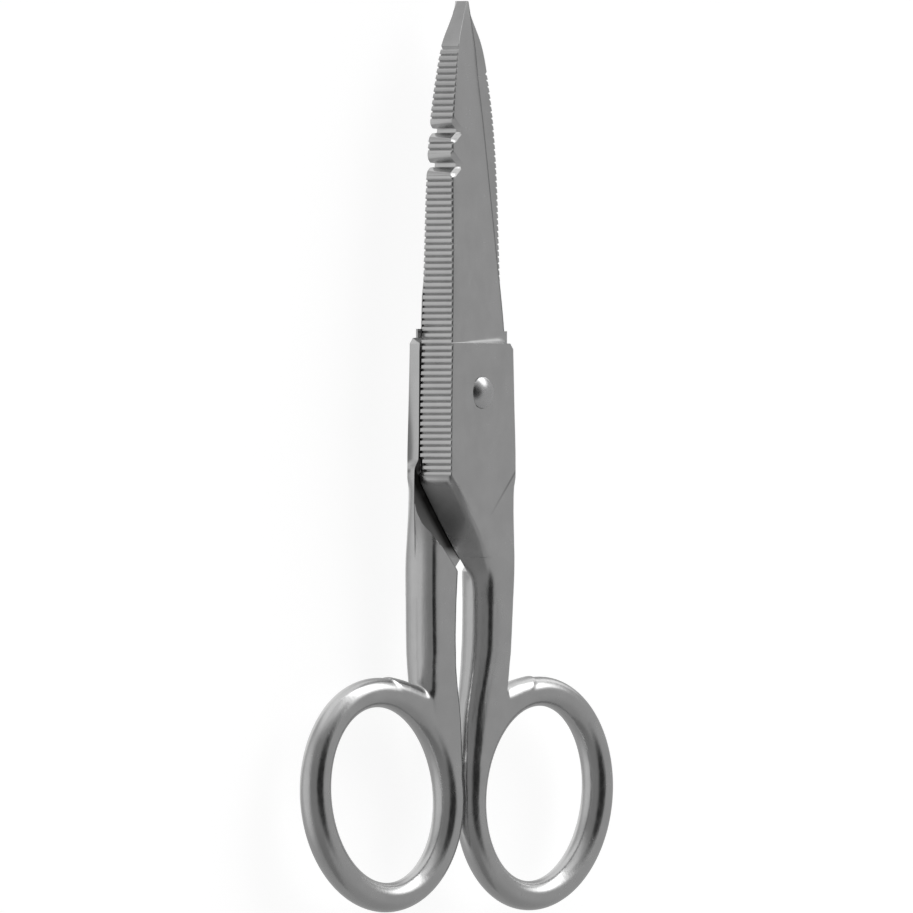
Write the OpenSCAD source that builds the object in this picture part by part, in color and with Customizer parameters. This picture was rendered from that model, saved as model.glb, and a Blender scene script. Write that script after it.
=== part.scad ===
// Cable splicer's scissors with file-cut blade backs and two wire-stripping notches.
// The origin is on the pivot axis, in the plane where the two halves meet.
// +Z is the pivot axis towards the notched half, and +Y points at the blade tips.

/* [Blades] */
// Distance from the pivot to the blade tips
blade_l = 57.2; // [52:0.1:62]
// Height of a blade's back over the meeting plane, at the pivot
back_h = 6.6; // [5.5:0.1:7.5]
// Distance from the pivot axis to a blade's back
back_x = 8.6; // [8:0.1:9.5]
// Distance from the pivot axis to the heel end of the cutting edge
edge_x = 8.7; // [8:0.1:9.2]
// Thickness left at the cutting edge
edge_t = 0.12; // [0.05:0.01:0.3]

/* [File ridges] */
// Distance from one ridge to the next
ridge_pitch = 0.92; // [0.7:0.01:1.5]
// Depth of the groove between two ridges
ridge_depth = 0.35; // [0.2:0.01:0.5]
// Lowest groove, measured along Y
ridge_start = -11.4; // [-12:0.1:-8]
// Highest groove, measured along Y
ridge_end = 50.6; // [46:0.1:52]

/* [Stripping notches] */
// Distance from the pivot to the inner notch
notch_y = 33.2; // [30:0.1:34]
// Distance between the two notches
notch_gap = 5; // [4.5:0.1:6]
// Depth of a notch below the blade's back
notch_depth = 1.7; // [1:0.1:2.2]
// Width of a notch's mouth at the outer face
notch_outer_w = 3.6; // [3:0.1:4]
// Width of a notch's mouth at the meeting plane
notch_inner_w = 1.9; // [1.5:0.1:2.5]

/* [Joint] */
// Gap between the two halves' meeting faces
face_gap = 0.1; // [0.06:0.01:0.2]
// Height of the joint block's outer face on the pivot axis
block_h = 4.3; // [4:0.1:4.6]
// Tilt of the joint block's outer face
block_tilt = 15; // [12:0.5:16]
// Radius of the rivet's shank
rivet_r = 1.8; // [1.5:0.1:2]
// Radius of the rivet's domed heads
rivet_head_r = 2.2; // [2.1:0.1:2.5]
// Running clearance round the rivet
rivet_clearance = 0.05; // [0.02:0.01:0.1]

/* [Handles] */
// Thickness of the shanks
shank_h = 4.8; // [4:0.1:5.4]
// Width of the shanks
shank_w = 6.4; // [6:0.1:7]
// Half the space between the two shanks at the fork
fork_x = 3.2; // [3:0.1:3.5]
// Distance from the pivot down to the ring centres
ring_drop = 58.65; // [56:0.05:62]
// Distance from the centre line to a ring's centre
ring_x = 15.7; // [15.5:0.1:16]
// Half length of both rings' centre lines
ring_a = 15.1; // [14.5:0.1:15.5]
// Half width of the notched half's ring, at its centre line
front_ring_b = 13; // [12.5:0.1:13.2]
// Half width of the plain half's ring, at its centre line
rear_ring_b = 13.5; // [13.2:0.1:14]
// Outward lean of the notched half's ring
front_ring_tilt = 15.5; // [12:0.5:20]
// Outward lean of the plain half's ring
rear_ring_tilt = 18.5; // [12:0.5:20]
// Radius of the ring's bar at its upper and lower ends
ring_r = 2.15; // [1.9:0.05:2.4]
// How much more the bar's radius is at the ring's sides
ring_swell = 0.17; // [0:0.01:0.25]
// Sideways set of both handles, away from the notched half's side
handle_set = 0.66; // [0:0.02:1]

/* [Hidden] */
$fn = 64;
steel = "#a9abad";
rivet_steel = "#b4b6b8";

// Reach of the cuts past the faces that they open
over = 1;
// Joint block: upper and lower ends, and the stop beside the cutting edge's heel
block_top = 6.7;
block_bottom = -12.5;
heel_top = 9;
heel_t = 0.7;
block_side_top = 8.75;
block_side_bottom = 9.45;
back_bottom_x = back_x + 0.3;
// Fork between the shanks, and the step that clears the other half's block
fork_y = -25;
step_top = -16.6;
step_bottom = -24.7;
// Room between the two rings where they meet
ring_gap = 0.24;
ring_steps = 60;
bar_steps = 14;
corner_steps = 4;
groove_half_w = 0.24;
// The plain half's back has fewer grooves near its tip, and its edge stays behind the notched half's tip
rear_grooves_less = 4;
tip_cover = 0.1;
// The shank's section: its round corner and its outer side's bulge, as shares of its half thickness
corner_share = 0.9;
bulge_share = 1.1;
bulge_angle = 60;
// A notch's mouth is cut this much wider past the back, so that its sides meet the back at full width
mouth_reach = 1.4;
// Rivet heads: the cone in the countersink, its straight rim and the dome above it
countersink_h = 1.6;
head_rim_h = 0.6;
dome_h = 1.3;

// The blade's curve: share of blade_l, then shares of back_x, back_h and edge_x
blade_curve = [
    [1.00, 0.125, 0.33, 0.18],
    [0.95, 0.275, 0.40, 0.22],
    [0.89, 0.48, 0.54, 0.30],
    [0.80, 0.64, 0.67, 0.38],
    [0.70, 0.76, 0.75, 0.49],
    [0.54, 0.86, 0.86, 0.64],
    [0.36, 0.91, 0.93, 0.81],
    [0.16, 0.965, 0.98, 0.99]
];

// Height of the joint block's tilted face at x
function block_face(x) = block_h - tan(block_tilt) * x;

// Distance from the pivot axis to the blade's back at y
function back_at(y) = lookup(y, concat(
    [for (row = blade_curve) [row[0] * blade_l, row[1] * back_x]],
    [[0, back_x], [block_bottom, back_bottom_x]]));

// Sideways set of the handle at y, growing from the block to the ring
function set_at(y, set) = -set * min(1, max(0, (-y - 12) / 43));

// A four-cornered section: back at the meeting plane, back on top, edge on top, edge
function slab(y, left_low, left, left_h, right, right_h) =
    [[left_low, y, 0], [left, y, left_h], [right, y, right_h], [right, y, 0]];

// The plain half's edge is kept narrower than the back, so that the closed tips cover it
function blade_sections(notched) = [for (row = blade_curve) let(
        back = row[1] * back_x,
        edge = row[3] * edge_x)
    slab(row[0] * blade_l, -back, -back, row[2] * back_h,
        notched ? edge : min(edge, back - tip_cover), edge_t)];

function block_section(y, right) =
    slab(y, -back_at(y), -back_at(y), block_face(-back_at(y)), right, block_face(right));

function block_sections(set) = [
    slab(heel_top + 0.1, -back_at(heel_top), -back_at(heel_top),
        0.98 * back_h, edge_x, edge_t),
    slab(heel_top, -back_at(heel_top), -back_at(heel_top),
        0.98 * back_h, edge_x + 0.3, heel_t),
    slab(block_top + 0.5, -back_at(block_top), -back_at(block_top),
        0.99 * back_h, edge_x + 0.3, heel_t),
    block_section(block_top, block_side_top),
    block_section(0, (block_side_top + block_side_bottom) / 2),
    block_section(block_bottom, block_side_bottom),
    slab(-19.5, -3.4, -1.7, 4.6, fork_x + shank_w + set_at(-19.5, set), 2.3),
    slab(fork_y, fork_x + set_at(fork_y, set), fork_x + 1.6, shank_h / 2,
        fork_x + shank_w - 0.3 + set_at(fork_y, set), shank_h / 2 - 0.3)
];

// The shank's section: flat towards the fork, one round corner above, a full outer side
function shank_section(y, left, right, h) = concat(
    [[left, y, -h]],
    [for (i = [0:corner_steps]) let(a = 180 - 90 * i / corner_steps, r = corner_share * h)
        [left + r * (1 + cos(a)), y, h - r * (1 - sin(a))]],
    [for (i = [0:corner_steps]) let(a = bulge_angle * (1 - i / corner_steps))
        [right - 2 * bulge_share * (1 - cos(a)), y, h * sin(a) / sin(bulge_angle)]],
    [for (i = [1:corner_steps]) let(a = -90 * i / corner_steps)
        [right - bulge_share * h * (1 - cos(a)), y, h * sin(a)]]);

// Rows of the shank: y, its inner side, its outer side and half its thickness
function shank_rows() = [
    [-13, fork_x, fork_x + shank_w, shank_h / 2],
    [-25, fork_x, fork_x + shank_w, shank_h / 2],
    [-33, fork_x + 0.1, fork_x + shank_w - 0.3, shank_h / 2],
    [-39, fork_x, fork_x + shank_w - 0.5, shank_h / 2],
    [-44, 0.7 * fork_x, fork_x + shank_w - 0.6, shank_h / 2],
    [-48, 0.32 * fork_x, 8, shank_h / 2 - 0.1],
    [-52, 0.12 * fork_x, 5.4, ring_r],
    [-58, 0.12 * fork_x, 4, 0.8 * ring_r]
];

function shank_sections(set) = [for (row = shank_rows()) let(shift = set_at(row[0], set))
    shank_section(row[0], row[1] + shift, row[2] + shift, row[3])];

// A ring's half width and lean
function ring_shape(notched) =
    notched ? [front_ring_b, front_ring_tilt] : [rear_ring_b, rear_ring_tilt];

// One station of the ring: the bar's round outline, square to the leaning oval
function ring_section(t, set, shape) = let(
        b = shape[0],
        lean = shape[1],
        run = norm([ring_a * cos(t), b * sin(t)]),
        r = ring_r + ring_swell * cos(t) ^ 2)
    [for (k = [0:bar_steps - 1]) let(
            a = 360 * k / bar_steps,
            x = cos(t) * (b + r * cos(a) * ring_a / run),
            y = sin(t) * (ring_a + r * cos(a) * b / run))
        [ring_x - set + x * cos(lean) + y * sin(lean),
            -ring_drop - x * sin(lean) + y * cos(lean),
            r * sin(a)]];

// Joins outlines of equal length into one solid, capped at both ends
module skin(outlines) {
    n = len(outlines[0]);
    m = len(outlines);
    sides = [for (i = [0:m - 2], j = [0:n - 1]) let(k = (j + 1) % n)
        each [[i * n + j, i * n + k, (i + 1) * n + j],
            [i * n + k, (i + 1) * n + k, (i + 1) * n + j]]];
    first = [for (j = [n - 1:-1:0]) j];
    last = [for (j = [0:n - 1]) (m - 1) * n + j];
    polyhedron([for (outline = outlines) each outline], concat([first, last], sides));
}

// Joins outlines of equal length into one closed loop
module loop(outlines) {
    n = len(outlines[0]);
    m = len(outlines);
    sides = [for (i = [0:m - 1], j = [0:n - 1]) let(k = (j + 1) % n, p = (i + 1) % m)
        each [[i * n + j, i * n + k, p * n + j], [i * n + k, p * n + k, p * n + j]]];
    polyhedron([for (outline = outlines) each outline], sides);
}

// One V groove across the whole thickness of the back
module groove(y) {
    translate([-back_at(y), y, -over])
        linear_extrude(back_h + 2 * over)
            polygon([[-over, -groove_half_w], [0, -groove_half_w], [ridge_depth, 0],
                [0, groove_half_w], [-over, groove_half_w]]);
}

module file_grooves(notched) {
    last = ridge_end - (notched ? 0 : rear_grooves_less * ridge_pitch);
    for (y = [ridge_start:ridge_pitch:last])
        groove(y);
}

// One stripping notch, wider at the outer face so that its rim is a cutting edge
module notch(y) {
    function tooth(z, half_w) = [[-back_at(y) - over, y - mouth_reach * half_w, z],
        [-back_at(y) - over, y + mouth_reach * half_w, z], [-back_at(y) + notch_depth, y, z]];
    skin([tooth(-0.5, notch_inner_w / 2), tooth(back_h, notch_outer_w / 2)]);
}

// The space that the other half's joint block swings through, below the meeting plane
module step_relief() {
    translate([0, 0, -shank_h])
        linear_extrude(shank_h + face_gap / 2)
            polygon([[-over, block_top], [-over, fork_y - over], [2, fork_y - over],
                [fork_x - 0.1, step_bottom], [6.8, -21.4], [9.2, step_top],
                [9.2 + 2 * over, step_top + over], [9.2 + 2 * over, block_top]]);
}

module handle(set, notched) {
    difference() {
        skin(shank_sections(set));
        step_relief();
    }
    difference() {
        loop([for (i = [0:ring_steps - 1])
            ring_section(360 * i / ring_steps, set, ring_shape(notched))]);
        translate([ring_gap / 2 - set - 10, -ring_drop - 20, -shank_h])
            cube([10, 40, 2 * shank_h]);
    }
}

// Bore and countersink for the rivet
module rivet_room() {
    translate([0, 0, -shank_h])
        cylinder(r = rivet_r + rivet_clearance, h = 3 * shank_h);
    translate([0, 0, block_h - countersink_h])
        cylinder(r1 = rivet_r + rivet_clearance, r2 = rivet_head_r + rivet_clearance,
            h = countersink_h - head_rim_h);
    translate([0, 0, block_h - head_rim_h])
        cylinder(r = rivet_head_r + rivet_clearance, h = shank_h);
}

// One forging: blade, joint block, shank and finger ring
module half(set, notched) {
    difference() {
        union() {
            intersection() {
                skin(concat(blade_sections(notched), block_sections(set)));
                translate([-50, -50, face_gap / 2])
                    cube([100, 150, 20]);
            }
            handle(set, notched);
        }
        file_grooves(notched);
        rivet_room();
        if (notched)
            for (i = [0:1])
                notch(notch_y + i * notch_gap);
    }
}

module front_half() {
    color(steel)
        half(handle_set, true);
}

module rear_half() {
    color(steel)
        rotate([0, 180, 0])
            half(-handle_set, false);
}

// Profile of one end of the rivet, from the meeting plane to the top of the dome
module rivet_end() {
    top = block_h + dome_h;
    dome_r = (rivet_head_r * rivet_head_r + dome_h * dome_h) / (2 * dome_h);
    cylinder(r = rivet_r, h = block_h - 1);
    translate([0, 0, block_h - countersink_h])
        cylinder(r1 = rivet_r, r2 = rivet_head_r, h = countersink_h - head_rim_h);
    translate([0, 0, block_h - head_rim_h])
        cylinder(r = rivet_head_r, h = head_rim_h);
    intersection() {
        translate([0, 0, top - dome_r])
            sphere(r = dome_r);
        translate([0, 0, block_h - 0.1])
            cylinder(r = rivet_head_r, h = dome_h + 0.1);
    }
}

module pivot_rivet() {
    color(rivet_steel) {
        rivet_end();
        mirror([0, 0, 1])
            rivet_end();
    }
}

front_half();
rear_half();
pivot_rivet();
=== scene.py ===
"""Electrician's scissors: skins for the two forged halves and their rivet, the metal, and a plain stage.

Lengths in the shape functions are millimetres in the row frame: the pivot axis is Z, the meeting plane is
Z = 0, and the blades point along +Y. The rear half is the front half's shape turned over about Y.
"""
from collections import namedtuple
from math import cos, pi, radians, sin, sqrt, tan

import bmesh
import bpy
import numpy as np
from mathutils import Matrix, Vector


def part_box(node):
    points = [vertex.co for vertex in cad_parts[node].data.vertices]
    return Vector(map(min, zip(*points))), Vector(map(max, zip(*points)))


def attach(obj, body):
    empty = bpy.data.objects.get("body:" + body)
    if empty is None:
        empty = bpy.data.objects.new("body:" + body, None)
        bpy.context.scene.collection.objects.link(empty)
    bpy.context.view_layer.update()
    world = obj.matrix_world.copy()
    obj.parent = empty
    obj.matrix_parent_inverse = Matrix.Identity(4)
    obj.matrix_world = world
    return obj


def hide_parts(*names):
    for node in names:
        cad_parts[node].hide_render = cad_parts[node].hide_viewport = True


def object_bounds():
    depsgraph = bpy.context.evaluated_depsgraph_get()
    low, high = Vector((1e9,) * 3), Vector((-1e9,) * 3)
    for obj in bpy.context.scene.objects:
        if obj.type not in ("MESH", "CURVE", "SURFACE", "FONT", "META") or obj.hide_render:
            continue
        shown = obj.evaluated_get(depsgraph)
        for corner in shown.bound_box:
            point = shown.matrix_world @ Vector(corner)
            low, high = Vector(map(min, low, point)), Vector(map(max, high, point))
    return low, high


MM = 0.001

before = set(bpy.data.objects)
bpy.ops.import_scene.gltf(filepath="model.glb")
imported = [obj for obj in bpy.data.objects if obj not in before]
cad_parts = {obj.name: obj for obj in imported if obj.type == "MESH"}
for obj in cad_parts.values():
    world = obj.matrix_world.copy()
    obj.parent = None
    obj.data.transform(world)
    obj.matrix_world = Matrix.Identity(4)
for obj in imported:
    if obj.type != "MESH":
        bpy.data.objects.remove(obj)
cad_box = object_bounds()

# ---------------------------------------------------------------- driving dimensions
BLADE_L = (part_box("front_half")[1] / MM).y
BACK_X = 8.6
BACK_H = 6.6
EDGE_X = 8.7
HALF_GAP = 0.05
BLOCK_H = 4.3
BLOCK_TILT = radians(15)
SHANK_H = 2.85
HANDLE_SET = 0.66

RIDGE_START, RIDGE_PITCH = -11.4, 0.92
# (share of the pitch, depth) down one ridge from the bottom of its groove: the file's cut, the land, its burr
RIDGE_CUT = ((0.0, 0.36), (0.16, 0.14), (0.26, 0.07), (0.62, 0.06), (0.77, 0.0), (0.82, 0.03), (1.0, 0.36))
LAND_DEPTH = 0.04

NOTCH_YS = (33.2, 38.2)
NOTCH_CLEAR = 1.55
MOUTH_ROUND, MOUTH_REACH = 0.22, 1.95
# The notches' countersunk bevels: how far they reach to each side, and their run for each unit of height
BEVEL_REACH, BEVEL_SLOPE = 1.85, 2.7
# A bevel's rim on the outer face: its depth at RIM_AWAY from the notch's middle, its slope and its most
RIM_AWAY, RIM_DEPTH, RIM_SLOPE, RIM_MOST = 1.81, 0.66, 1.85, 3.05

RING_X, RING_DROP = 15.7, 58.65
RING_A = 15.1
RING_R, RING_SWELL = 2.14, 0.17
RING_HALF_GAP = 0.12
# The flat web where the shank runs into the ring, before the handle's set
WEB = ((3.6, -38), (2.8, -42.5), (2.0, -46), (1.2, -50), (0.6, -54), (1.4, -58), (4, -60), (14.5, -50),
       (14.5, -41.8), (11.5, -42.2), (8.5, -42.9), (8.0, -38))

JOIN_Y = -30.0
VOXEL = 0.2
# A turn of the surface that stays a crease: on the ground parts, and on the blended handle
SHARP_ANGLE, CAST_SHARP_ANGLE = radians(28), radians(60)

RIVET_R, RIVET_HEAD_R, RIVET_ROOM = 1.8, 2.3, 0.04
COUNTERSINK_H, HEAD_RIM_H = 1.7, 0.85
HEAD_RISE, DOME_H = 0.14, 0.72
SPOT_FACE_R = 2.62

# One forging of the pair. set_x is its handle's sideways set, and turned says that it is turned over about Y.
Half = namedtuple("Half", "name set_x notched turned ridge_end block_top heel_top ring_b ring_tilt")
FRONT = Half("front_half_skin", HANDLE_SET, True, False, 50.6, 7.2, 9.0, 13.0, radians(15.5))
REAR = Half("rear_half_skin", -HANDLE_SET, False, True, 46.92, 8.0, 9.3, 13.5, radians(18.5))


# ---------------------------------------------------------------- curves
def curve(*points):
    """A smooth curve through (y, value) points that never overshoots them."""
    points = sorted(points)
    xs = np.array([p[0] for p in points], float)
    vs = np.array([p[1] for p in points], float)
    slopes = np.diff(vs) / np.diff(xs)
    tangents = np.concatenate([[slopes[0]], (slopes[:-1] + slopes[1:]) / 2, [slopes[-1]]])
    for i, slope in enumerate(slopes):
        limit = 3 * abs(slope)
        for j in (i, i + 1):
            tangents[j] = 0 if tangents[j] * slope <= 0 else np.clip(tangents[j], -limit, limit)

    def at(y):
        y = min(max(y, xs[0]), xs[-1])
        i = min(int(np.searchsorted(xs, y, side="right")) - 1, len(slopes) - 1)
        step = xs[i + 1] - xs[i]
        t = (y - xs[i]) / step
        return float(vs[i] * (1 + 2 * t) * (1 - t) ** 2 + vs[i + 1] * t * t * (3 - 2 * t)
                     + step * t * (1 - t) * (tangents[i] * (1 - t) - tangents[i + 1] * t))

    return at


def line(*points):
    """Straight stretches between (y, value) points."""
    points = sorted(points)
    xs, vs = zip(*points)
    return lambda y: float(np.interp(y, xs, vs))


def clamp(value, low=0.0, high=1.0):
    return min(max(value, low), high)


def smooth(t):
    t = clamp(t)
    return t * t * (3 - 2 * t)


# Share of the blade's length, then shares of its back's distance and height and of its edge's distance
BLADE_CURVE = ((1.00, 0.105, 0.30, 0.15), (0.95, 0.275, 0.40, 0.22), (0.89, 0.48, 0.54, 0.30),
               (0.80, 0.64, 0.67, 0.38), (0.70, 0.76, 0.75, 0.49), (0.54, 0.86, 0.86, 0.64),
               (0.36, 0.91, 0.93, 0.81), (0.16, 0.965, 0.98, 0.99))

blade_back = curve(*[(row[0] * BLADE_L, row[1] * BACK_X) for row in BLADE_CURVE],
                   (0, BACK_X), (-12.5, BACK_X + 0.12))
blade_height = curve(*[(row[0] * BLADE_L, row[2] * BACK_H) for row in BLADE_CURVE], (6, 0.985 * BACK_H))
blade_edge = curve(*[(row[0] * BLADE_L, row[3] * EDGE_X) for row in BLADE_CURVE], (6, EDGE_X + 0.1))
# The back's rounded corner with the outer face
back_fillet = line((-12, 0.3), (5, 0.4), (28, 0.64), (40, 0.52), (48, 0.34), (52, 0.04), (57.2, 0.03))
# The edge's thickness, and a fine honed lip that runs along it
rim_height = line((50, 0.2), (57.2, 0.12))
LIP_W, LIP_H = 0.12, 0.03
TIP_COVER = 0.1

HEEL_T, HEEL_IN, HEEL_OUT = 0.7, 8.5, 9.0
# A nick in the back beside the joint's lower end
NICK_TOP, NICK_END, NICK_DEPTH = -9.7, -11.9, 0.5

# The lower end of the joint block: its foot on the meeting plane and its brow on the outer face
foot_x = curve((-12.1, -BACK_X - 0.12), (-12.7, -BACK_X), (-13.3, -8.35), (-13.9, -7.95), (-23.5, -0.87),
               (-24.1, -0.35), (-25.7, 0.72), (-27.2, 1.75), (-28.6, 2.1), (-29.4, 2.16))
brow_x = curve((-12.1, -8.35), (-13, -7.5), (-16.3, -4.3), (-19.6, -1.1), (-21, 0.2), (-22.5, 1.6),
               (-23.95, 3.0), (-25.9, 4.2), (-27.6, 4.8), (-30.3, 5.2))
bevel_dx = curve((-12.1, 0.4), (-13, 0.8), (-20, 0.85), (-22.5, 1.1), (-25, 1.7), (-28, 2.3), (-30, 2.5))
bevel_dz = curve((-12.1, 0.4), (-13, 0.55), (-20, 0.6), (-22.5, 0.95), (-25, 1.6), (-28, 2.0), (-30, 2.2))
bevel_round = line((-12.1, 0.5), (-19, 0.35), (-27, 1.0))
KNEE_TOP, KNEE_END = -22.0, -29.4
KNEE_LOW, KNEE_HIGH, KNEE_PASSES = -31.0, -20.5, 14

# The outer side of the block and the shank: the corner of its outer face, then its waist at mid-thickness
corner_x = curve((6.2, 8.75), (-2.5, 9.1), (-10, 9.4), (-12.2, 9.4), (-13.9, 9.0), (-17, 8.8), (-24, 8.4),
                 (-30, 8.1), (-36, 7.9), (-40.5, 7.65), (-44, 7.4), (-48, 6.4), (-52, 4.4), (-59, 2.8))
waist_x = curve((6.2, 8.6), (-2.5, 8.68), (-9.7, 8.82), (-10.3, 9.15), (-11, 9.55), (-12.2, 9.65), (-17, 9.6),
                (-22, 9.36), (-30, 9.2), (-36, 8.95), (-40.5, 8.75), (-44, 8.5), (-48, 7.6), (-52, 5.4),
                (-59, 3.2))
TOP_CUT = 0.85
# Below the meeting plane the shank starts along this step, and then keeps to its inner side
step_x = curve((-16.2, 9.6), (-17.9, 9.42), (-19.6, 8.97), (-21.5, 7.67), (-23.1, 5.64), (-25, 3.3),
               (-26, 2.15))
STEP_TOP, STEP_END = -16.2, -26.0
inner_x = curve((-26, 2.15), (-30, 2.3), (-35, 2.35), (-39, 2.15), (-42.5, 1.7), (-46, 1.1), (-50, 0.7),
                (-54, 0.5), (-60, 0.4))
shank_half = line((-38, SHANK_H), (-44, 2.45), (-50, 2.15), (-55, 1.85), (-59, 1.2))
shank_narrow = line((-40, 1.0), (-50, 0.8), (-59, 0.4))
# The shank's sides from mid-thickness, as (distance inwards, share of the half thickness)
INNER_SIDE = ((0, 0), (0.02, 0.15), (0.16, 0.342), (0.49, 0.54), (1.33, 0.837), (1.49, 0.886), (1.68, 0.924),
              (1.93, 0.958), (2.26, 0.983), (2.61, 1.0))
OUTER_SIDE = ((0, 0), (0.07, 0.1), (0.22, 0.32), (0.45, 0.54), (0.75, 0.74), (1.0, 0.863), (1.25, 0.926),
              (1.65, 0.97), (2.2, 1.0))
under_corner = line((-22, 0.0), (-26, 1.0))
SHANK_CROWN = 0.14
SEAM_W, SEAM_H = 0.1, 0.18
# The crease where the block's ground flat ends, in plan, and where the fall from it reaches the shank's face
CREASE_X, CREASE_Y, CREASE_SLOPE, FALL_END = 8.3, -13, 1.235, -30.5


def set_at(y):
    """How far along the handle has moved to its sideways set, from 0 at the block to 1 below the fork."""
    return clamp((-y - 12) / 28)


def block_face(x):
    return BLOCK_H - tan(BLOCK_TILT) * x


def notch_away(y):
    """Distance from the nearest stripping notch."""
    return min(abs(y - notch_y) for notch_y in NOTCH_YS)


def groove_depth(y, half):
    """Depth of the file-cut ridges' surface below the blade's back."""
    if not RIDGE_START - RIDGE_PITCH < y < half.ridge_end:
        return 0.0
    if half.notched and notch_away(y) < NOTCH_CLEAR:
        return LAND_DEPTH
    down = ((RIDGE_START - y) / RIDGE_PITCH) % 1
    return float(np.interp(down, *zip(*RIDGE_CUT)))


# Half of a notch's outline as (distance from its middle, depth), at the meeting plane and the outer face
NOTCH_INNER = ((0.85, 0.0), (0.36, 0.5), (0.27, 1.6))
NOTCH_OUTER = ((1.15, 0.0), (0.36, 1.6), (0.27, 1.8))


def notch_depth(y, share):
    """Depth of the two stripping notches; share is 0 at the meeting plane and 1 under the outer bevel."""
    away = notch_away(y)
    outline = [((1 - share) * a[0] + share * b[0], (1 - share) * a[1] + share * b[1])
               for a, b in zip(NOTCH_INNER, NOTCH_OUTER)]
    mouth = outline[0][0]
    worn = MOUTH_ROUND * clamp((MOUTH_REACH - away) / (MOUTH_REACH - mouth)) ** 2
    return float(np.interp(away, *zip(*reversed(outline)), right=0.0)) * (1 - MOUTH_ROUND / 2) + worn


def notch_brow(y, cut):
    """Depth of the countersunk notch's rim on the outer face, and the height of its flat bevel."""
    away = notch_away(y)
    if away > BEVEL_REACH:
        return 0.0, 0.0
    rim = min(RIM_DEPTH + (RIM_AWAY - away) * RIM_SLOPE, RIM_MOST)
    return rim, max(0.0, rim - cut) / BEVEL_SLOPE


# ---------------------------------------------------------------- sections
LEFT_N, BEVEL_N, TOP_N, SIDE_N, UNDER_N, FLOOR_N, MEET_N = 12, 8, 14, 6, 12, 3, 6


def top_height(x, y, half):
    """Height of the outer surface at (x, y)."""
    if y < half.block_top:
        crease = CREASE_Y + (x - CREASE_X) * CREASE_SLOPE
        fall = smooth((crease - y) / max(4.0, crease - FALL_END))
        return block_face(x) * (1 - fall) + (SHANK_H - 0.06) * fall
    back, edge = -blade_back(y), blade_edge(y)
    ground = blade_height(y) + (rim_height(y) - blade_height(y)) * clamp((x - back) / (edge - back))
    step = block_face(x) - ground
    reach = max(0.05, 1.2 * step)
    near = clamp(1 - (y - half.block_top) / reach)
    return ground + max(0.0, step) * (1 - sqrt(1 - near * near))


def bezier(start, control, end, n):
    """n points after start, along a curve with one control point."""
    points = []
    for i in range(1, n + 1):
        t = i / n
        points.append(tuple(a * (1 - t) ** 2 + 2 * b * t * (1 - t) + c * t * t
                            for a, b, c in zip(start, control, end)))
    return points


def between(start, end, n):
    """n points after start, along a straight line."""
    return [(start[0] + (end[0] - start[0]) * i / n, start[1] + (end[1] - start[1]) * i / n)
            for i in range(1, n + 1)]


def rounded(shoulder, brow, fullness):
    """The curve from shoulder to brow: 0 is a flat bevel, and 1 turns as a full round corner."""
    corner = (shoulder[0], brow[1])
    control = tuple(fullness * c + (1 - fullness) * (a + b) / 2 for c, a, b in zip(corner, shoulder, brow))
    return bezier(shoulder, control, brow, BEVEL_N)


def along(outline, n):
    """n + 1 points spaced evenly along an outline of (x, z) corners."""
    xs, zs = np.array(outline, float).T
    reach = np.concatenate(([0], np.cumsum(np.hypot(np.diff(xs), np.diff(zs)))))
    at = np.linspace(0, reach[-1], n + 1)
    return list(zip(np.interp(at, reach, xs).tolist(), np.interp(at, reach, zs).tolist()))


def blade_left(y, half):
    """The ridged back from the meeting plane up, and its round corner with the outer face."""
    back = -blade_back(y)
    groove = groove_depth(y, half)
    cut = max(groove, notch_depth(y, 1) if half.notched else 0.0)
    rim_depth, drop = notch_brow(y, cut) if half.notched else (0.0, 0.0)
    fillet = back_fillet(y)
    rim = back + max(fillet, rim_depth)
    brow = (rim, top_height(rim, y, half))
    bevel = max(drop, min(fillet, rim - back - cut))
    shoulder = (back + cut, top_height(back + cut, y, half) - bevel)
    nick = NICK_DEPTH if NICK_END < y < NICK_TOP else 0.0
    points = []
    for i in range(LEFT_N + 1):
        share = i / LEFT_N
        depth = max(groove, notch_depth(y, share) if half.notched else 0.0)
        x = back + max(depth, nick if i == 0 else 0.0)
        points.append((x, HALF_GAP + (shoulder[1] - HALF_GAP) * share))
    return points + rounded(shoulder, brow, 0.0 if drop else 1.0)


def shank_left(y, top):
    """The inner side of the shank from mid-thickness up to its outer face."""
    narrow = shank_narrow(y)
    side = [(inner_x(y) + dx * narrow, max(share * top, HALF_GAP)) for dx, share in INNER_SIDE]
    return along(side[:5], LEFT_N) + along(side[4:], BEVEL_N)[1:]


def lower_left(y, half):
    """The block's slanted lower end, which turns into the inner side of the shank at the knee."""
    if y < KNEE_END:
        return shank_left(y, shank_half(y) - SHANK_CROWN)
    foot = foot_x(y)
    brow = (brow_x(y), top_height(brow_x(y), y, half))
    shoulder = (max(brow[0] - bevel_dx(y), foot), brow[1] - bevel_dz(y))
    shoulder = (shoulder[0], max(shoulder[1], HALF_GAP + 0.02))
    block = [(foot, HALF_GAP)] + between((foot, HALF_GAP), shoulder, LEFT_N)
    block += rounded(shoulder, brow, bevel_round(y))
    turn = smooth((KNEE_TOP - y) / (KNEE_TOP - KNEE_END))
    if not turn:
        return block
    shank = shank_left(y, SHANK_H - SHANK_CROWN)
    lean = foot - shank[0][0]
    return [(a[0] * (1 - turn) + (b[0] + lean * (1 - turn)) * turn, a[1] * (1 - turn) + b[1] * turn)
            for a, b in zip(block, shank)]


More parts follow.
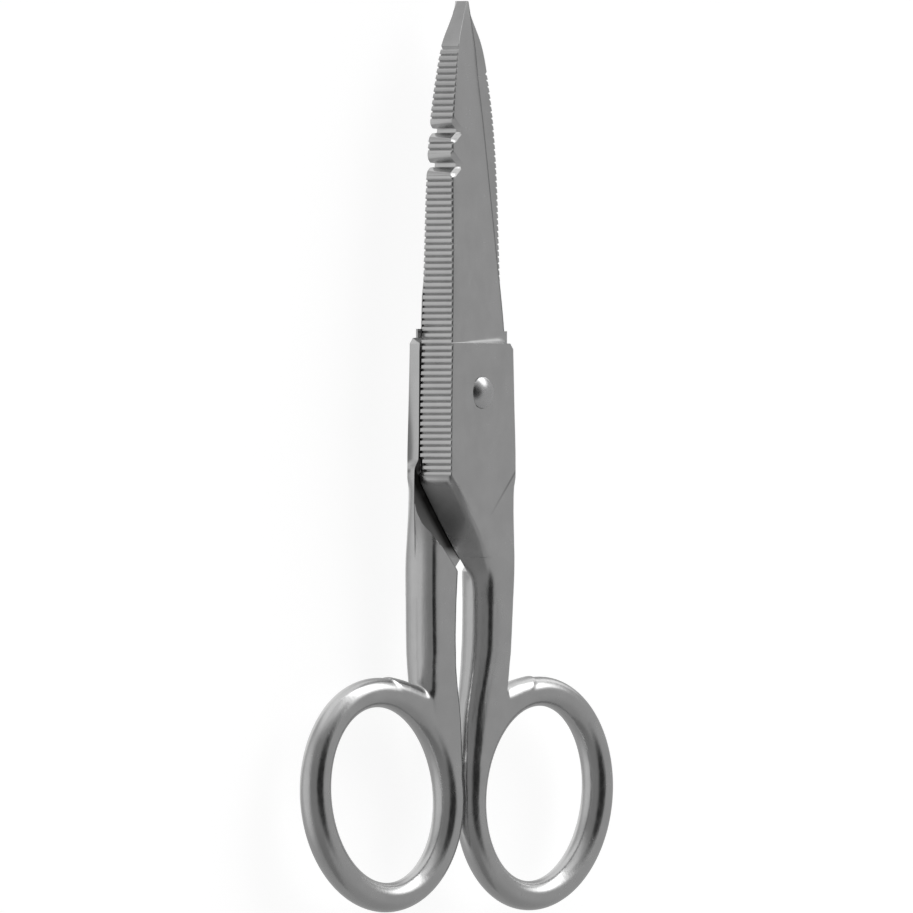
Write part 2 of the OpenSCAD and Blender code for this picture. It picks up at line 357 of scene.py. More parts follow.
def top_points(brow, corner, y, half):
    """The outer face between its two corners."""
    xs = [brow[0] + (corner[0] - brow[0]) * i / TOP_N for i in range(1, TOP_N)]
    if y < half.block_top:
        if y > KNEE_TOP:
            return [(x, top_height(x, y, half)) for x in xs] + [corner]
        points = []
        for i, x in enumerate(xs, 1):
            level = brow[1] + (corner[1] - brow[1]) * i / TOP_N
            points.append((x, level + SHANK_CROWN * 4 * (i / TOP_N) * (1 - i / TOP_N)))
        if y > KNEE_END:
            turn = smooth((KNEE_TOP - y) / (KNEE_TOP - KNEE_END))
            points = [(x, z * turn + top_height(x, y, half) * (1 - turn)) for x, z in points]
        return points + [corner]
    lip = y > half.heel_top
    if lip:
        xs[-1] = corner[0] - LIP_W
    points = [(x, top_height(x, y, half)) for x in xs]
    if lip:
        points[-1] = (xs[-1], corner[1] - LIP_H)
    return points + [corner]


def under_side(waist, wall_x, deep):
    """The shank's outer side from the parting seam down to its far face, or to the step that cuts it off."""
    narrow = min(1.0, (waist[0] - wall_x) / 2.4) if deep < 2.3 else 1.0
    room = max(waist[0] - wall_x, 1e-4)
    side = [(0, 0), (SEAM_W * min(1, room), SEAM_H / 2.7 * min(1, room))] + \
           [(dx * narrow, share) for dx, share in OUTER_SIDE[2:]]
    cut = []
    for (ax, az), (bx, bz) in zip(side, side[1:]):
        cut.append((ax, az))
        if bx > room:
            cut.append((room, az + (bz - az) * (room - ax) / (bx - ax)))
            break
    else:
        cut.append(side[-1])
    return [(waist[0] - dx, waist[1] - share * deep) for dx, share in along(cut, UNDER_N)[1:]]


def section(y, half):
    """The half's outline at y, as (x, z) points, clockwise seen from the handles."""
    left = blade_left(y, half) if y >= -12.1 else lower_left(y, half)
    shank = y < STEP_TOP
    if half.block_top <= y <= half.heel_top:
        corner, waist, control = (HEEL_IN, HEEL_T), (HEEL_OUT, HALF_GAP), (HEEL_OUT, HEEL_T)
    elif y > half.block_top:
        edge = blade_edge(y) if half.notched else min(blade_edge(y), blade_back(y) - TIP_COVER)
        corner, waist = (edge, rim_height(y)), (edge, HALF_GAP)
        control = (edge, rim_height(y) / 2)
    else:
        cut = TOP_CUT * clamp((y - half.block_top + TOP_CUT) / TOP_CUT)
        x = corner_x(y) - cut
        turn = smooth((KNEE_TOP - y) / (KNEE_TOP - KNEE_END))
        corner = (x, top_height(x, y, half) * (1 - turn) + (shank_half(y) - SHANK_CROWN) * turn)
        waist = (waist_x(y) - cut, 0.0 if shank else HALF_GAP)
        full = smooth((-14 - y) / 10)
        control = (waist[0] - 0.1 * (waist[0] - corner[0]) + 0.1 * full,
                   corner[1] * (0.6 + 0.4 * full) + waist[1] * 0.4 * (1 - full) + 0.05 * full)
    side = bezier(corner, control, waist, SIDE_N)
    wall_x = step_x(y) if y > STEP_END else inner_x(y)
    wall_x = min(wall_x, waist[0] - 0.02)
    if shank:
        under = under_side(waist, wall_x, shank_half(y))
    else:
        under = [waist] * UNDER_N
    last = under[-1]
    wall_x = min(wall_x, last[0])
    turned = under_corner(y) * shank_narrow(y)
    start = (min(last[0], wall_x + 2.0 * turned), last[1])
    floor = between(last, start, FLOOR_N)
    if turned and last[0] - wall_x > 0.1:
        lower_wall = (wall_x, last[1] * (1 - 0.78 * turned))
        wall = bezier(start, (wall_x + 0.15 * turned, last[1]), lower_wall, 6)
        wall.append((wall_x, HALF_GAP) if y > STEP_END else left[0])
    else:
        wall = [start] * 6 + [(wall_x, HALF_GAP)]
    meet = between(wall[-1], left[0], MEET_N)[:-1]
    shift = -half.set_x * set_at(y)
    outline = left + top_points(left[-1], corner, y, half) + side + under + floor + wall + meet
    return [(x + shift, z) for x, z in outline]


def stations(half):
    """The Y of every section, tips first."""
    ys = [BLADE_L, BLADE_L - 0.12]
    ys += list(np.arange(half.ridge_end + 0.3, BLADE_L - 0.5, 0.6))
    lands = np.arange(RIDGE_START, half.ridge_end + 0.01, RIDGE_PITCH)
    ys += [land - share * RIDGE_PITCH for land in lands for share, _ in RIDGE_CUT[:-1]]
    ys += [RIDGE_START - 0.999 * RIDGE_PITCH, RIDGE_START - 1.001 * RIDGE_PITCH, half.ridge_end + 0.001]
    if half.notched:
        steps = (0.0, 0.14, 0.26, 0.28, 0.33, 0.36, 0.45, 0.55, 0.65, 0.75, 0.85, 0.95, 1.05, 1.15, 1.3, 1.45,
                 1.54, 1.56, 1.7, 1.8, 1.85, 1.9, 1.95)
        ys += [notch_y + side * step for notch_y in NOTCH_YS for step in steps for side in (-1, 1)]
    top = half.block_top
    ys += [half.heel_top + 0.001, half.heel_top, top, top - 0.001]
    ys += list(np.arange(top - TOP_CUT, top + 2.4, 0.15))
    ys += [NICK_TOP, NICK_TOP - 0.001, NICK_END, NICK_END - 0.001]
    ys += [-12.1, -12.101, -12.4, -12.7, -13.0, -13.3, -13.9, STEP_TOP, STEP_TOP - 0.05, -24.1, -24.7]
    ys += list(np.arange(-29.6, -12.6, 0.35))
    ys = sorted({round(float(y), 4) for y in ys if y <= BLADE_L}, reverse=True)
    kept = [ys[0]]
    for y in ys[1:]:
        if kept[-1] - y > 0.0009:
            kept.append(y)
    return kept + [JOIN_Y + 0.05]


# ---------------------------------------------------------------- handle and ring as one blended solid
def outline_distance(points, x, z):
    """Signed distance from grid points (x, z) to a closed outline, negative inside."""
    best = np.full(x.shape, 1e9)
    inside = np.zeros(x.shape, bool)
    for (ax, az), (bx, bz) in zip(points, points[1:] + points[:1]):
        dx, dz = bx - ax, bz - az
        length = dx * dx + dz * dz
        if length < 1e-12:
            continue
        t = np.clip(((x - ax) * dx + (z - az) * dz) / length, 0, 1)
        best = np.minimum(best, (x - ax - t * dx) ** 2 + (z - az - t * dz) ** 2)
        if az != bz:
            inside ^= ((az > z) != (bz > z)) & (x < (bx - ax) * (z - az) / (bz - az) + ax)
    return np.where(inside, -1, 1) * np.sqrt(best)


def ring_shape(half):
    """Points on the ring's oval centre line, and the bar's radius at each."""
    t = np.linspace(0, 2 * pi, 721)[:-1]
    ex, ey = half.ring_b * np.cos(t), RING_A * np.sin(t)
    x = RING_X - half.set_x + ex * cos(half.ring_tilt) + ey * sin(half.ring_tilt)
    y = -RING_DROP - ex * sin(half.ring_tilt) + ey * cos(half.ring_tilt)
    return x, y, RING_R + RING_SWELL * np.cos(t) ** 2


def smooth_min(a, b, k):
    mix = np.clip(0.5 + 0.5 * (b - a) / k, 0, 1)
    return b * (1 - mix) + a * mix - k * mix * (1 - mix)


def plan_field(half, px, py):
    """Signed distance in plan from the ring, its hole and the web beside it, and the bar's radius nearby."""
    near = np.full(px.shape, 1e9)
    radius = np.zeros(px.shape)
    for cx, cy, cr in zip(*ring_shape(half)):
        away = (px - cx) ** 2 + (py - cy) ** 2
        closer = away < near
        near[closer], radius[closer] = away[closer], cr
    dx, dy = px - RING_X + half.set_x, py + RING_DROP
    ex = dx * cos(half.ring_tilt) - dy * sin(half.ring_tilt)
    ey = dx * sin(half.ring_tilt) + dy * cos(half.ring_tilt)
    inside = (ex / half.ring_b) ** 2 + (ey / RING_A) ** 2 < 1
    middle = np.where(inside, -1, 1) * np.sqrt(near)
    web = outline_distance([(x - half.set_x, y) for x, y in WEB], px, py)
    solid = smooth_min(middle - radius, web, 1.3)
    return np.maximum(solid, -middle - radius), radius


def handle_field(half):
    """The blended handle's distance field on a grid: the shank below JOIN_Y, and the ring with its web."""
    cx, cy, _ = ring_shape(half)
    xs = np.arange(-half.set_x - 1.2, cx.max() + 3.2, VOXEL)
    ys = np.arange(cy.min() - 3.2, JOIN_Y + 1.2, VOXEL)
    zs = np.arange(-SHANK_H - 0.7, SHANK_H + 0.7, VOXEL)
    gx, gz = np.meshgrid(xs, zs, indexing="ij")
    shank = np.full((len(xs), len(ys), len(zs)), 4.0)
    first = int(np.argmax(ys > -59))
    for j in range(first, len(ys)):
        shank[:, j, :] = outline_distance(section(ys[j], half), gx, gz)
    for j in range(first - 1, -1, -1):
        shank[:, j, :] = shank[:, j + 1, :] + VOXEL
    plan, radius = plan_field(half, *np.meshgrid(xs, ys, indexing="ij"))
    across = np.maximum(plan + radius, 0)[:, :, None]
    ring = np.sqrt(across ** 2 + zs[None, None, :] ** 2) - radius[:, :, None]
    flat = (RING_HALF_GAP - half.set_x) - xs[:, None, None]
    return np.maximum(smooth_min(shank, ring, 0.5), flat), xs, ys, zs


def sample(field, origin, points):
    """Field values at points, interpolated between grid nodes."""
    grid = (points - origin) / VOXEL
    base = np.clip(np.floor(grid).astype(int), 0, np.array(field.shape) - 2)
    f = np.clip(grid - base, 0, 1)
    total = np.zeros(len(points))
    for corner in np.ndindex(2, 2, 2):
        weight = np.prod([f[:, a] if corner[a] else 1 - f[:, a] for a in range(3)], axis=0)
        index = base + np.array(corner)
        total += weight * field[index[:, 0], index[:, 1], index[:, 2]]
    return total


def surface_net(field, origin):
    """Vertices and quads of the field's zero surface, one vertex in each cell that it crosses."""
    inside = field < 0
    cells = tuple(n - 1 for n in field.shape)
    total = np.zeros(cells + (3,))
    count = np.zeros(cells)
    for axis in range(3):
        low = [slice(None)] * 3
        high = [slice(None)] * 3
        low[axis], high[axis] = slice(None, -1), slice(1, None)
        a, b = field[tuple(low)], field[tuple(high)]
        cross = (a < 0) != (b < 0)
        share = np.where(cross, a / np.where(cross, a - b, 1), 0)
        others = [k for k in range(3) if k != axis]
        for u in range(2):
            for v in range(2):
                part = [slice(None)] * 3
                part[others[0]] = slice(u, u + cells[others[0]])
                part[others[1]] = slice(v, v + cells[others[1]])
                hit = cross[tuple(part)]
                point = np.zeros(cells + (3,))
                point[..., others[0]], point[..., others[1]] = u, v
                point[..., axis] = share[tuple(part)]
                total += point * hit[..., None]
                count += hit
    used = count > 0
    number = np.full(cells, -1)
    number[used] = np.arange(used.sum())
    where = np.argwhere(used)
    verts = origin + (where + total[used] / count[used][:, None]) * VOXEL
    quads = []
    for axis in range(3):
        others = [k for k in range(3) if k != axis]
        low = [slice(1, -1)] * 3
        low[axis] = slice(0, -1)
        high = [slice(1, -1)] * 3
        high[axis] = slice(1, None)
        a, b = inside[tuple(low)], inside[tuple(high)]
        for flip, hits in ((False, a & ~b), (True, b & ~a)):
            at = np.argwhere(hits)
            at[:, others] += 1
            corners = []
            for u, v in ((0, 0), (1, 0), (1, 1), (0, 1)):
                cell = at.copy()
                cell[:, others[0]] -= u
                cell[:, others[1]] -= v
                corners.append(number[cell[:, 0], cell[:, 1], cell[:, 2]])
            quad = np.stack(corners, axis=1)
            outward = (axis != 1) != flip
            quads.append(quad if outward else quad[:, ::-1])
    return verts, np.concatenate(quads)


def settle(points, field, origin, rounds=4):
    """Moves points onto the field's zero surface, along its slope."""
    gradient = np.gradient(field, VOXEL)
    for _ in range(rounds):
        slope = np.stack([sample(g, origin, points) for g in gradient], axis=1)
        size = np.maximum((slope ** 2).sum(1), 0.05)
        points = points - slope * (sample(field, origin, points) / size)[:, None]
    return points


# ---------------------------------------------------------------- meshes
def add_loft(bm, half):
    """Skins the blade, block and upper shank. Returns the ring of vertices at its open lower end."""
    rows = []
    for y in stations(half):
        rows.append([bm.verts.new((x, y, z)) for x, z in section(y, half)])
    for upper, lower in zip(rows, rows[1:]):
        for j in range(len(upper)):
            k = (j + 1) % len(upper)
            bm.faces.new((upper[j], upper[k], lower[k], lower[j]))
    bm.faces.new(rows[0][::-1])
    return rows[-1]


def zip_loops(bm, one, two):
    """Fills between two rings of vertices, matched by their angle round a common middle."""
    middle = sum((v.co for v in one), Vector()) / len(one)

    def order(ring):
        return sorted(((np.arctan2(v.co.z - middle.z, v.co.x - middle.x), v) for v in ring),
                      key=lambda pair: pair[0])

    a, b = order(one), order(two)
    i = j = 0
    while i < len(a) or j < len(b):
        next_a = a[(i + 1) % len(a)][0] + (2 * pi if i + 1 >= len(a) else 0)
        next_b = b[(j + 1) % len(b)][0] + (2 * pi if j + 1 >= len(b) else 0)
        here_a, here_b = a[i % len(a)][1], b[j % len(b)][1]
        if i < len(a) and (next_a <= next_b or j >= len(b)):
            bm.faces.new((here_a, a[(i + 1) % len(a)][1], here_b))
            i += 1
        else:
            bm.faces.new((here_a, b[(j + 1) % len(b)][1], here_b))
            j += 1


def soften_knee(bm):
    """Evens out the forged knee, where the block's slanted end turns into the shank."""
    knee = [v for v in bm.verts if KNEE_LOW < v.co.y < KNEE_HIGH and v.co.z > 0.6
            and foot_x(v.co.y) + 0.25 < v.co.x < 7.5]
    for _ in range(KNEE_PASSES):
        bmesh.ops.smooth_vert(bm, verts=knee, factor=0.5, use_axis_x=True, use_axis_z=True)


def half_mesh(half):
    """One forged half as a closed mesh in metres."""
    bm = bmesh.new()
    lower_ring = add_loft(bm, half)
    field, xs, ys, zs = handle_field(half)
    origin = np.array([xs[0], ys[0], zs[0]])
    verts, quads = surface_net(field, origin)
    verts = settle(verts, field, origin)
    made = [bm.verts.new(v) for v in verts]
    net_faces = [bm.faces.new([made[i] for i in quad]) for quad in quads]
    cut = bmesh.ops.bisect_plane(bm, geom=made + net_faces + list({e for f in net_faces for e in f.edges}),
                                 plane_co=(0, JOIN_Y, 0), plane_no=(0, 1, 0), clear_outer=True)
    open_verts = list({v for e in cut["geom_cut"] if isinstance(e, bmesh.types.BMEdge) for v in e.verts})
    ring = np.array([v.co for v in lower_ring])
    ring = settle(ring, field, origin)
    for v, co in zip(lower_ring, ring):
        v.co = (co[0], v.co.y, co[2])
    zip_loops(bm, lower_ring, open_verts)
    bmesh.ops.remove_doubles(bm, verts=bm.verts, dist=1e-4)
    bmesh.ops.dissolve_degenerate(bm, edges=bm.edges, dist=1e-5)
    bmesh.ops.recalc_face_normals(bm, faces=bm.faces)
    soften_knee(bm)
    if half.turned:
        bm.transform(Matrix.Rotation(pi, 4, "Y"))
    bm.transform(Matrix.Scale(MM, 4))
    mesh = bpy.data.meshes.new(half.name)
    bm.to_mesh(mesh)
    bm.free()
    return mesh


def lathe(profile, sides=72):
    """A closed solid of revolution about Z from (radius, z) points, the first and last on the axis."""
    bm = bmesh.new()
    rings = []
    for radius, z in profile:
        if radius == 0:
            rings.append([bm.verts.new((0, 0, z))])
        else:
            angles = [2 * pi * k / sides for k in range(sides)]
            rings.append([bm.verts.new((radius * cos(a), radius * sin(a), z)) for a in angles])
    for lower, upper in zip(rings, rings[1:]):
        for k in range(sides):
            corners = [lower[k % len(lower)], lower[(k + 1) % len(lower)],
                       upper[(k + 1) % len(upper)], upper[k % len(upper)]]
            bm.faces.new(list(dict.fromkeys(corners)))
    bmesh.ops.recalc_face_normals(bm, faces=bm.faces)
    bm.transform(Matrix.Scale(MM, 4))
    return bm


def rivet_profile():
    """The rivet from end to end: domed head, straight rim, countersunk cone, shank, and the same again."""
    dome_r = (RIVET_HEAD_R ** 2 + DOME_H ** 2) / (2 * DOME_H)
    base = BLOCK_H + HEAD_RISE
    rim_angle = np.arcsin(RIVET_HEAD_R / dome_r)
    dome = [(dome_r * sin(rim_angle * i / 14), base + DOME_H - dome_r * (1 - cos(rim_angle * i / 14)))
            for i in range(14)]
    dome[0] = (0, dome[0][1])
    half = dome + [(RIVET_HEAD_R - 0.03, base), (RIVET_HEAD_R, base - 0.06),
                   (RIVET_HEAD_R, BLOCK_H - HEAD_RIM_H), (RIVET_R, BLOCK_H - COUNTERSINK_H), (RIVET_R, 0.3)]
    return half + [(radius, -z) for radius, z in reversed(half)]


def bore_cutter():
    """The room for the rivet in both halves, with its running clearance."""
    head = RIVET_HEAD_R + RIVET_ROOM
    neck = RIVET_R + RIVET_ROOM
    half = [(0, 12.0), (SPOT_FACE_R, 12.0), (SPOT_FACE_R, BLOCK_H + 0.02), (head, BLOCK_H + 0.02),
            (head, BLOCK_H - HEAD_RIM_H), (neck, BLOCK_H - COUNTERSINK_H), (neck, 0.3)]
    bm = lathe(half + [(radius, -z) for radius, z in reversed(half)])
    mesh = bpy.data.meshes.new("bore")
    bm.to_mesh(mesh)
    bm.free()
    return bpy.data.objects.new("bore", mesh)


def applied(obj, modifier):
    """Gives obj the mesh that its modifier makes, and drops the modifier."""
    depsgraph = bpy.context.evaluated_depsgraph_get()
    mesh = bpy.data.meshes.new_from_object(obj.evaluated_get(depsgraph))
    obj.modifiers.remove(modifier)
    obj.data = mesh


def bore_out(obj, cutter):
    modifier = obj.modifiers.new("bore", "BOOLEAN")
    modifier.operation = "DIFFERENCE"
    modifier.solver = "EXACT"
    modifier.object = cutter
    applied(obj, modifier)


def finish_surface(obj, sharp_above):
    """Smooth shading with creases where the surface turns sharply, and below a given Y only the sharpest."""
    bm = bmesh.new()
    bm.from_mesh(obj.data)
    for face in bm.faces:
        face.smooth = True
    for edge in bm.edges:
        crisp = min(v.co.y for v in edge.verts) > sharp_above
        turn = edge.calc_face_angle(0.0)
        edge.smooth = not (turn > (SHARP_ANGLE if crisp else CAST_SHARP_ANGLE))
    bm.to_mesh(obj.data)
    bm.free()
    modifier = obj.modifiers.new("weighted", "WEIGHTED_NORMAL")
    modifier.keep_sharp = True
    modifier.weight = 50
    applied(obj, modifier)


def add_object(name, mesh, node, body):
    obj = bpy.data.objects.new(name, mesh)
    bpy.context.scene.collection.objects.link(obj)
    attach(obj, body)
    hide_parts(node)
    return obj


# ---------------------------------------------------------------- materials
# Slanted lines across the halves in plan: the block's foot, and the crease where its ground flat ends
FOOT_LINE = (0.8047, 0.5935, 0.01430)
CREASE_LINE = (0.671, 0.742, 0.01486)


class Nodes:
    """Short calls that add and link shader nodes."""

    def __init__(self, name):
        self.material = bpy.data.materials.new(name)
        self.material.use_nodes = True
        self.tree = self.material.node_tree
        self.shader = self.tree.nodes["Principled BSDF"]

    def add(self, kind, settings=None, **inputs):
        node = self.tree.nodes.new(kind)
        for key, value in (settings or {}).items():
            setattr(node, key, value)
        for key, value in inputs.items():
            self.put(node.inputs[int(key[1:]) if key[1:].isdigit() else key], value)
        return node

    def put(self, socket, value):
        if hasattr(value, "is_linked"):
            self.tree.links.new(value, socket)
        else:
            socket.default_value = value

    def math(self, operation, a, b=0.0):
        return self.add("ShaderNodeMath", {"operation": operation}, i0=a, i1=b).outputs[0]

    def remap(self, value, low, high, to_low, to_high):
        node = self.add("ShaderNodeMapRange", None, i0=value, i1=low, i2=high, i3=to_low, i4=to_high)
        return node.outputs[0]

    def past_line(self, across, y, slanted):
        """Metres past a slanted line in plan, which is (share of across, share of y, offset)."""
        across_share, y_share, offset = slanted
        along_across = self.math("MULTIPLY", across, across_share)
        along_y = self.math("MULTIPLY", y, y_share)
        return self.math("SUBTRACT", self.math("SUBTRACT", along_across, along_y), offset)

    def noise(self, stretch, detail=3.0):
        """Noise in millimetre cells; stretch is the number of cells per millimetre along X, Y and Z."""
        place = self.add("ShaderNodeTexCoord").outputs["Object"]
        scaled = self.add("ShaderNodeVectorMath", {"operation": "MULTIPLY"}, i0=place,
                          i1=tuple(cells / MM for cells in stretch)).outputs[0]
        return self.add("ShaderNodeTexNoise", None, Vector=scaled, Scale=1.0, Detail=detail).outputs["Fac"]


def plated_steel():
    """Satin nickel plate: ground flats, a faintly grained skin on the handles, painted shade in the joint's
    gap, a painted dark line along the crease, and a painted lighter end wall under the joint.
    """
    n = Nodes("plated_steel")
    place = n.add("ShaderNodeSeparateXYZ", None, i0=n.add("ShaderNodeTexCoord").outputs["Object"])
    x, y, z = place.outputs
    handle = n.remap(y, -0.014, -0.030, 0.0, 1.0)
    grind = n.noise((0.35, 7.0, 0.35), 2.0)
    grain = n.noise((2.6, 0.9, 2.6), 3.0)
    cloud = n.noise((0.25, 0.25, 0.25), 3.0)
    rough_flat = n.remap(grind, 0.3, 0.7, 0.21, 0.26)
    rough_cast = n.remap(grain, 0.3, 0.7, 0.19, 0.27)
    mixed = n.add("ShaderNodeMix", None, i0=handle, i2=rough_flat, i3=rough_cast).outputs[0]
    clouded = n.math("ADD", mixed, n.remap(cloud, 0.3, 0.7, -0.02, 0.02))
    across = n.math("ABSOLUTE", x, 0.0)
    meeting = n.remap(n.math("ABSOLUTE", z, 0.0), 0.00008, 0.00014, 1.0, 0.0)
    # Metres from the other half's slanted foot, out over the bare part of the meeting face
    bare = n.past_line(across, y, FOOT_LINE)
    reach = n.math("MULTIPLY", n.remap(bare, -0.0004, 0.0, 0.0, 1.0), n.remap(bare, 0.0012, 0.0022, 1.0, 0.6))
    reach = n.math("MULTIPLY", reach, n.remap(y, -0.0242, -0.0225, 0.0, 1.0))
    beside = n.math("MULTIPLY", n.remap(y, -0.0150, -0.0120, 0.0, 1.0), n.remap(y, 0.0060, 0.0070, 1.0, 0.0))
    beside = n.math("MULTIPLY", beside, n.remap(across, 0.0082, 0.0085, 0.0, 0.85))
    reach = n.math("MAXIMUM", reach, beside)
    # Painted shade: the meeting face is painted near-black next to the other half's foot and along the
    # block's side, where the gap between the halves lies in shade; the patch is also rougher
    gap_shade = n.math("MULTIPLY", meeting, n.math("MULTIPLY", reach, n.remap(cloud, 0.2, 0.5, 0.88, 1.0)))
    gap_shade_rough = n.add("ShaderNodeMix", None, i0=gap_shade, i2=clouded, i3=0.42).outputs[0]
    n.put(n.shader.inputs["Roughness"], gap_shade_rough)
    tone = n.add("ShaderNodeMix", {"data_type": "RGBA"}, Factor=n.remap(cloud, 0.35, 0.65, 0.0, 1.0))
    n.put(tone.inputs[6], (0.60, 0.60, 0.60, 1))
    n.put(tone.inputs[7], (0.64, 0.64, 0.64, 1))
    # Painted shade: the near-black gap colour is mixed in over the metal's tone
    gap_shaded = n.add("ShaderNodeMix", {"data_type": "RGBA"}, Factor=gap_shade)
    n.put(gap_shaded.inputs[6], tone.outputs[2])
    n.put(gap_shaded.inputs[7], (0.035, 0.034, 0.033, 1))
    # Painted shade: a dark line along the crease across the outer face, where the block's ground flat ends
    crease = n.math("ABSOLUTE", n.past_line(across, y, CREASE_LINE), 0.0)
    groove = n.math("MULTIPLY", n.remap(crease, 0.00004, 0.0003, 1.0, 0.0),
                    n.remap(across, 0.002, 0.0075, 0.0, 1.0))
    groove = n.math("MULTIPLY", groove, n.remap(n.math("ABSOLUTE", z, 0.0), 0.0008, 0.0012, 0.0, 0.5))
    crease_shaded = n.add("ShaderNodeMix", {"data_type": "RGBA"}, Factor=groove)
    n.put(crease_shaded.inputs[6], gap_shaded.outputs[2])
    n.put(crease_shaded.inputs[7], (0.12, 0.12, 0.12, 1))
    # Painted light: the slanted end wall under the joint is given a paler, less metallic grey so that it
    # shows lighter
    wall_light_mask = n.math("MULTIPLY", n.remap(n.math("MULTIPLY", x, z), -4e-7, -1.2e-6, 0.0, 1.0),
                  n.remap(y, -0.0130, -0.0138, 0.0, 1.0))
    wall_light_mask = n.math("MULTIPLY", wall_light_mask, n.remap(y, -0.0190, -0.0235, 1.0, 0.0))
    wall_light_mask = n.math("MULTIPLY", wall_light_mask, n.remap(bare, -0.0013, -0.0006, 0.0, 1.0))
    wall_lit = n.add("ShaderNodeMix", {"data_type": "RGBA"}, Factor=wall_light_mask)
    n.put(wall_lit.inputs[6], crease_shaded.outputs[2])
    n.put(wall_lit.inputs[7], (0.40, 0.40, 0.40, 1))
    n.put(n.shader.inputs["Base Color"], wall_lit.outputs[2])
    # Painted light: the same wall mask also lowers the metallic value there, which lightens the wall
    n.put(n.shader.inputs["Metallic"], n.remap(wall_light_mask, 0.0, 1.0, 1.0, 0.45))
    height = n.math("MULTIPLY", grain, handle)
    height = n.math("ADD", height, n.math("MULTIPLY", grind, 0.05))
    bump = n.add("ShaderNodeBump", None, Height=height, Strength=0.5, Distance=0.00002)
    n.put(n.shader.inputs["Normal"], bump.outputs[0])
    return n.material


def rivet_steel():
    """Plated rivet, a little smoother than the halves, with faint hammer marks on the domes."""
    n = Nodes("rivet_steel")
    marks = n.noise((1.4, 1.4, 1.4), 2.0)
    n.put(n.shader.inputs["Roughness"], n.remap(marks, 0.3, 0.7, 0.22, 0.30))
    tone = n.add("ShaderNodeMix", {"data_type": "RGBA"}, Factor=marks)
    n.put(tone.inputs[6], (0.62, 0.62, 0.625, 1))
    n.put(tone.inputs[7], (0.67, 0.67, 0.675, 1))
    n.put(n.shader.inputs["Base Color"], tone.outputs[2])
    n.put(n.shader.inputs["Metallic"], 1.0)
    bump = n.add("ShaderNodeBump", None, Height=marks, Strength=0.4, Distance=0.00003)
    n.put(n.shader.inputs["Normal"], bump.outputs[0])
    return n.material


front = add_object(FRONT.name, half_mesh(FRONT), "front_half", "front")
rear = add_object(REAR.name, half_mesh(REAR), "rear_half", "rear")
bore = bore_cutter()
bpy.context.scene.collection.objects.link(bore)
steel = plated_steel()
for skin in (front, rear):
    bore_out(skin, bore)
    finish_surface(skin, JOIN_Y * MM)
    skin.data.materials.clear()
    skin.data.materials.append(steel)
bpy.data.objects.remove(bore)

rivet_bm = lathe(rivet_profile())
rivet_mesh = bpy.data.meshes.new("rivet_skin")
rivet_bm.to_mesh(rivet_mesh)
rivet_bm.free()
rivet = add_object("rivet_skin", rivet_mesh, "pivot_rivet", "rear")
finish_surface(rivet, -1)
rivet.data.materials.append(rivet_steel())

# ---------------------------------------------------------------- stage
camera_data = bpy.data.cameras.new("camera")
camera_data.lens = 1200
camera = bpy.data.objects.new("camera", camera_data)
bpy.context.scene.collection.objects.link(camera)
toward = Vector((-1, 0, 1)).normalized()
aim = Vector((-0.52, -9.32, -0.52)) * MM
view_width = 133.36 * MM
distance = view_width * camera_data.lens / camera_data.sensor_width
right = Vector((1, 0, 1)).normalized()
up = Vector((0, 1, 0))
axes = Matrix((right, up, toward)).transposed().to_4x4()
camera.matrix_world = Matrix.Translation(aim + toward * distance) @ axes
camera_data.clip_start = 0.1
camera_data.clip_end = 50
bpy.context.scene.camera = camera

floor_mesh = bpy.data.meshes.new("floor")
reach = 3.0
floor_z = cad_box[0][2]
floor_mesh.from_pydata([(-reach, -reach, floor_z), (reach, -reach, floor_z), (reach, reach, floor_z),
                        (-reach, reach, floor_z)], [], [(0, 1, 2, 3)])
floor = bpy.data.objects.new("floor", floor_mesh)
# The metal mirrors the grey room instead of the bright paper, as it would on a stand above it
floor.visible_glossy = False
bpy.context.scene.collection.objects.link(floor)


def floor_paper():
    """White paper that glows a little, so that the object stands on an even, almost shadowless ground."""
    n = Nodes("floor_paper")
    fleck = n.noise((0.02, 0.02, 0.02), 2.0)
    tone = n.add("ShaderNodeMix", {"data_type": "RGBA"}, Factor=fleck)
    n.put(tone.inputs[6], (0.34, 0.34, 0.34, 1))
    n.put(tone.inputs[7], (0.37, 0.37, 0.37, 1))
    n.put(n.shader.inputs["Base Color"], tone.outputs[2])
    n.put(n.shader.inputs["Roughness"], 0.9)
    n.put(n.shader.inputs["Specular IOR Level"], 0.1)
    n.put(n.shader.inputs["Emission Color"], (1, 1, 1, 1))
    n.put(n.shader.inputs["Emission Strength"], 0.86)
    return n.material


floor_mesh.materials.append(floor_paper())


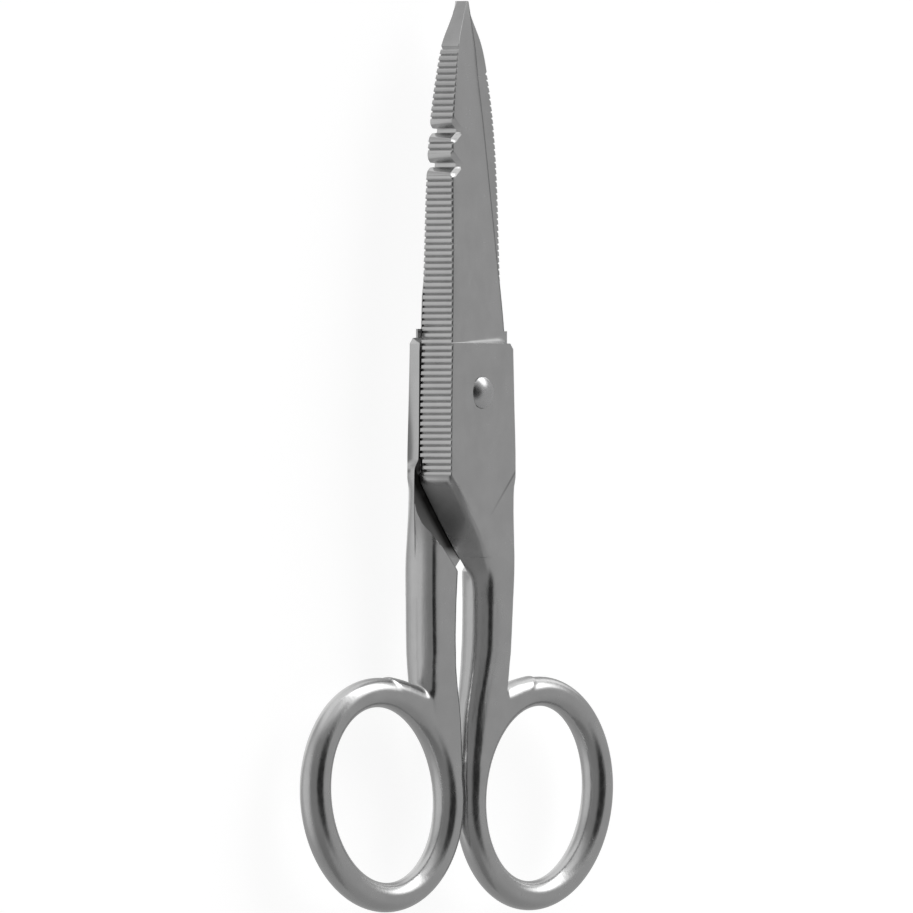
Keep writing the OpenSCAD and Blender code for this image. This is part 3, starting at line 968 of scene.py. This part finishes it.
def studio_world():
    """A soft grey room with a softbox past the tips and a dark gap overhead."""
    world = bpy.data.worlds.new("studio")
    world.use_nodes = True
    tree = world.node_tree
    nodes, links = tree.nodes, tree.links

    def put(socket, value):
        if hasattr(value, "is_linked"):
            links.new(value, socket)
        else:
            socket.default_value = value

    def math(operation, a, b=0.0):
        node = nodes.new("ShaderNodeMath")
        node.operation = operation
        put(node.inputs[0], a)
        put(node.inputs[1], b)
        return node.outputs[0]

    def ramp(value, low, high, to_low, to_high):
        node = nodes.new("ShaderNodeMapRange")
        node.interpolation_type = "SMOOTHSTEP"
        for socket, entry in zip(node.inputs, (value, low, high, to_low, to_high)):
            put(socket, entry)
        return node.outputs[0]

    ray = nodes.new("ShaderNodeTexCoord").outputs["Generated"]
    direction = nodes.new("ShaderNodeSeparateXYZ")
    links.new(ray, direction.inputs[0])
    x, y, z = direction.outputs
    lean = math("MULTIPLY", math("ARCTAN2", x, z), 180 / pi)

    def lobe(lean_at, lean_reach, y_at, y_reach, inner, outer, to_inner, to_outer):
        """A soft-edged oval patch of the room, round a lean from overhead towards +X and a height along Y."""
        u = math("DIVIDE", math("SUBTRACT", lean, lean_at), lean_reach)
        v = math("DIVIDE", math("SUBTRACT", y, y_at), y_reach)
        away = math("SQRT", math("ADD", math("MULTIPLY", u, u), math("MULTIPLY", v, v)))
        return ramp(away, inner, outer, to_inner, to_outer)

    room = ramp(y, -0.95, -0.3, 0.32, 0.40)
    room = math("MULTIPLY", room, lobe(-52, 44, 0, 3.0, 0.5, 1.1, 0.62, 1.0))
    room = math("MULTIPLY", room, ramp(math("ABSOLUTE", lean), 95, 150, 1.0, 1.12))
    room = math("ADD", room, lobe(-122, 36, 0.05, 0.75, 0.4, 1.2, 0.26, 0.0))
    room = math("ADD", room, ramp(y, 0.62, 0.9, 0.0, 0.45))
    room = math("ADD", room, lobe(96, 20, 0.62, 0.28, 0.3, 1.1, 0.8, 0.0))
    ceiling_gap = lobe(-8, 31, 0.06, 0.54, 0.55, 1.15, 0.06, 1.0)
    softbox = lobe(46, 24, 0.78, 0.46, 0.6, 1.2, 1.9, 0.0)
    fill = nodes.new("ShaderNodeVectorMath")
    fill.operation = "DOT_PRODUCT"
    links.new(ray, fill.inputs[0])
    fill.inputs[1].default_value = Vector((0.24, 0.38, -0.89)).normalized()
    light = math("ADD", math("MULTIPLY", room, ceiling_gap), softbox)
    light = math("ADD", light, ramp(fill.outputs["Value"], 0.82, 0.98, 0.0, 0.5))
    put(nodes["Background"].inputs["Strength"], light)
    put(nodes["Background"].inputs["Color"], (1, 1, 1, 1))
    return world


bpy.context.scene.world = studio_world()
bpy.context.scene.view_settings.view_transform = "Standard"
